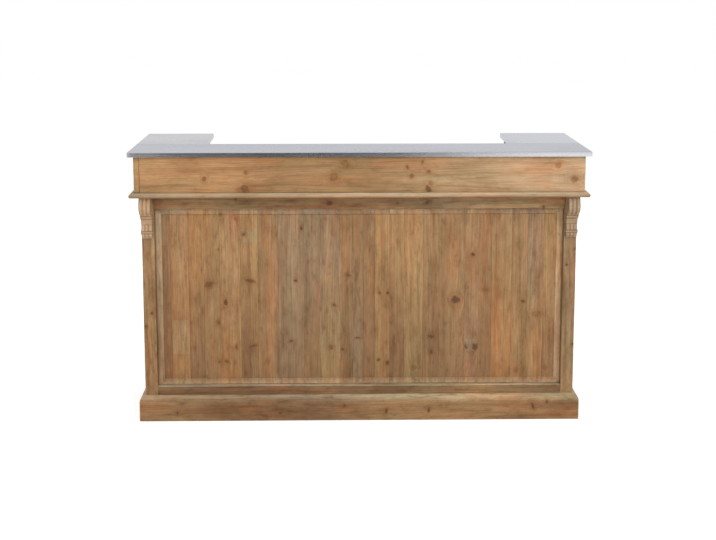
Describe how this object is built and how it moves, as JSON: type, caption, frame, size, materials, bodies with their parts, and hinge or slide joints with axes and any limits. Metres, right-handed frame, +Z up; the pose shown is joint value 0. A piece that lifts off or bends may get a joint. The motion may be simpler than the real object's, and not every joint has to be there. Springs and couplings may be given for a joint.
{
  "type": "bar counter",
  "caption": "Free-standing U-shaped bar counter of panelled pine under a folded zinc top, with carved corbels, shelves and drawers behind.",
  "frame": {"origin": "on the floor, under the middle of the top's outline", "axes": "+X along the bar to the guests' right, +Y from the guests' side to the bartender's side, +Z up"},
  "size_m": [1.8, 0.66, 1.1],
  "materials": {
    "zinc": "satin sheet zinc, lightly stained",
    "core_board": "raw board",
    "fascia_pine": "waxed reclaimed pine, honey",
    "frame_pine": "waxed reclaimed pine, brown",
    "panel_pine": "waxed reclaimed pine staves of mixed tones",
    "moulding_pine": "waxed reclaimed pine",
    "plinth_pine": "waxed reclaimed pine",
    "carved_pine": "carved and waxed pine",
    "inside_pine": "plain planed pine",
    "knob_wood": "turned and stained dark"
  },
  "bodies": {
    "counter": {"zinc_bar_sheet": "zinc", "zinc_left_arm_sheet": "zinc", "zinc_right_arm_sheet": "zinc", "top_core": "core_board", "front_fascia": "fascia_pine", "left_fascia": "fascia_pine", "right_fascia": "fascia_pine", "left_rear_fascia": "fascia_pine", "right_rear_fascia": "fascia_pine", "bar_rear_rail": "inside_pine", "front_cornice": "moulding_pine", "left_cornice": "moulding_pine", "right_cornice": "moulding_pine", "left_rear_cornice": "moulding_pine", "right_rear_cornice": "moulding_pine", "left_corbel": "carved_pine", "right_corbel": "carved_pine", "left_front_post": "frame_pine", "right_front_post": "frame_pine", "left_rear_post": "frame_pine", "right_rear_post": "frame_pine", "front_top_rail": "frame_pine", "front_bottom_rail": "frame_pine", "left_side_top_rail": "frame_pine", "left_side_bottom_rail": "frame_pine", "right_side_top_rail": "frame_pine", "right_side_bottom_rail": "frame_pine", "front_panel": "panel_pine", "left_side_panel": "panel_pine", "right_side_panel": "panel_pine", "front_plinth": "plinth_pine", "left_plinth": "plinth_pine", "right_plinth": "plinth_pine", "bottom_board": "inside_pine", "rear_kick_board": "inside_pine", "partition": "inside_pine", "worktop": "inside_pine", "left_wing_panel": "inside_pine", "right_wing_panel": "inside_pine", "left_wing_shelf": "inside_pine", "right_wing_shelf": "inside_pine", "left_bay_shelf": "inside_pine", "right_bay_shelf": "inside_pine", "left_drawer_deck": "inside_pine", "right_drawer_deck": "inside_pine"},
    "left_drawer": {"left_drawer_front": "fascia_pine", "left_drawer_left_side": "inside_pine", "left_drawer_right_side": "inside_pine", "left_drawer_back": "inside_pine", "left_drawer_bottom": "core_board", "left_drawer_left_knob": "knob_wood", "left_drawer_right_knob": "knob_wood"},
    "right_drawer": {"right_drawer_front": "fascia_pine", "right_drawer_left_side": "inside_pine", "right_drawer_right_side": "inside_pine", "right_drawer_back": "inside_pine", "right_drawer_bottom": "core_board", "right_drawer_left_knob": "knob_wood", "right_drawer_right_knob": "knob_wood"}
  },
  "joints": [
    {"name": "left_drawer_slide", "type": "slide", "parent": "counter", "child": "left_drawer", "axis": [0, 1, 0], "range_m": [0, 0.3]},
    {"name": "right_drawer_slide", "type": "slide", "parent": "counter", "child": "right_drawer", "axis": [0, 1, 0], "range_m": [0, 0.3]}
  ]
}
